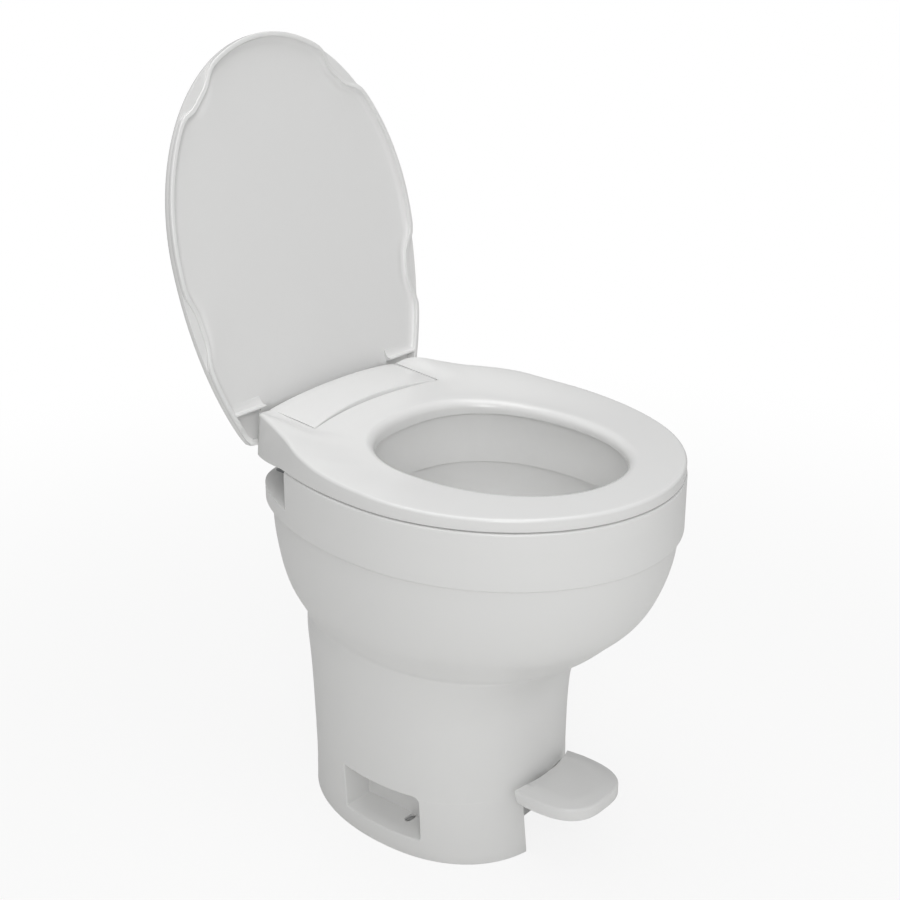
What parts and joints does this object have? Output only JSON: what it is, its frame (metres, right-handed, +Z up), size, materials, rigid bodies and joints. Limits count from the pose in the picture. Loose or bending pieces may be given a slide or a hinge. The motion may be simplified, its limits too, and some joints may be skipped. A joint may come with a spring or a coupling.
{
  "type": "rv toilet",
  "caption": "Free-standing foot-flush recreational-vehicle toilet with an oval pedestal, oval bowl, closed-front seat, dished lid, half-moon pedal and ball valve.",
  "frame": {"origin": "on the floor under the middle of the object's box, with the lid open", "axes": "+Z up, -Y the way a sitter faces, +X the sitter's left"},
  "size_m": [0.38, 0.5262, 0.838],
  "materials": {
    "shell_white": "smooth moulded white plastic with a soft gloss",
    "seat_white": "smooth moulded white plastic, a little glossier than the body",
    "rubber_gray": "dull grey rubber",
    "seal_black": "dull black seal rubber",
    "mechanism_gray": "matt grey moulded plastic",
    "valve_blue_gray": "matt blue-grey moulded plastic",
    "steel": "plain stainless steel",
    "brass": "plain brass",
    "hose_gray": "satin grey flexible hose"
  },
  "bodies": {
    "base": {"pedestal_shell": "shell_white", "bowl": "shell_white", "hinge_cover": "seat_white", "bowl_seal": "seal_black", "flange_seal": "seal_black", "hinge_bracket_right": "mechanism_gray", "hinge_bracket_left": "mechanism_gray", "mechanism_housing": "mechanism_gray", "retaining_ring": "mechanism_gray", "rim_nozzle": "mechanism_gray", "water_valve_body": "valve_blue_gray", "vacuum_breaker_body": "valve_blue_gray", "vacuum_breaker_cap": "valve_blue_gray", "hinge_pin_right": "steel", "hinge_pin_left": "steel", "hinge_bolt_right": "steel", "hinge_bolt_left": "steel", "hinge_nut_right": "steel", "hinge_nut_left": "steel", "pedal_pivot_pin": "steel", "housing_screw_1": "steel", "housing_screw_2": "steel", "housing_screw_3": "steel", "housing_screw_4": "steel", "pedal_return_spring": "steel", "valve_spring": "steel", "deck_screw_right": "steel", "deck_screw_left": "steel", "water_inlet_fitting": "brass", "flush_hose": "hose_gray", "inlet_hose": "hose_gray"},
    "seat": {"seat_ring": "seat_white", "seat_bumper_front_right": "rubber_gray", "seat_bumper_front_left": "rubber_gray", "seat_bumper_rear_right": "rubber_gray", "seat_bumper_rear_left": "rubber_gray"},
    "lid": {"lid": "seat_white"},
    "pedal": {"pedal_arm": "mechanism_gray", "pedal_pad": "seat_white", "pad_screw_right": "steel", "pad_screw_left": "steel"},
    "ball": {"waste_ball": "mechanism_gray", "drive_pinion": "mechanism_gray"},
    "plunger": {"valve_plunger": "mechanism_gray"},
    "float": {"vacuum_breaker_float": "rubber_gray"}
  },
  "joints": [
    {"name": "seat_hinge", "type": "hinge", "parent": "base", "child": "seat", "pos_m": [0, 0.142, 0.448], "axis": [-1, 0, 0], "range_deg": [0, 92]},
    {"name": "lid_hinge", "type": "hinge", "parent": "seat", "child": "lid", "pos_m": [0, 0.142, 0.448], "axis": [-1, 0, 0], "range_deg": [-105.2, 0]},
    {"name": "pedal_pivot", "type": "hinge", "parent": "base", "child": "pedal", "pos_m": [0, -0.05, 0.078], "axis": [1, 0, 0], "range_deg": [0, 20], "stiffness_Nm_per_rad": 1.5, "springref_deg": -17.19, "deforming": ["pedal_return_spring"]},
    {"name": "ball_turn", "type": "hinge", "parent": "base", "child": "ball", "pos_m": [0, 0.016, 0.078], "axis": [1, 0, 0], "range_deg": [-90, 0]},
    {"name": "valve_stroke", "type": "slide", "parent": "base", "child": "plunger", "axis": [0, 0, -1], "range_m": [0, 0.0112], "deforming": ["valve_spring"]},
    {"name": "float_lift", "type": "slide", "parent": "base", "child": "float", "axis": [0, 0, 1], "range_m": [0, 0.004]}
  ],
  "couplings": [
    {"joint": "ball_turn", "follows": "pedal_pivot", "ratio": -4.5},
    {"joint": "valve_stroke", "follows": "pedal_pivot", "m_per_rad": 0.032}
  ]
}
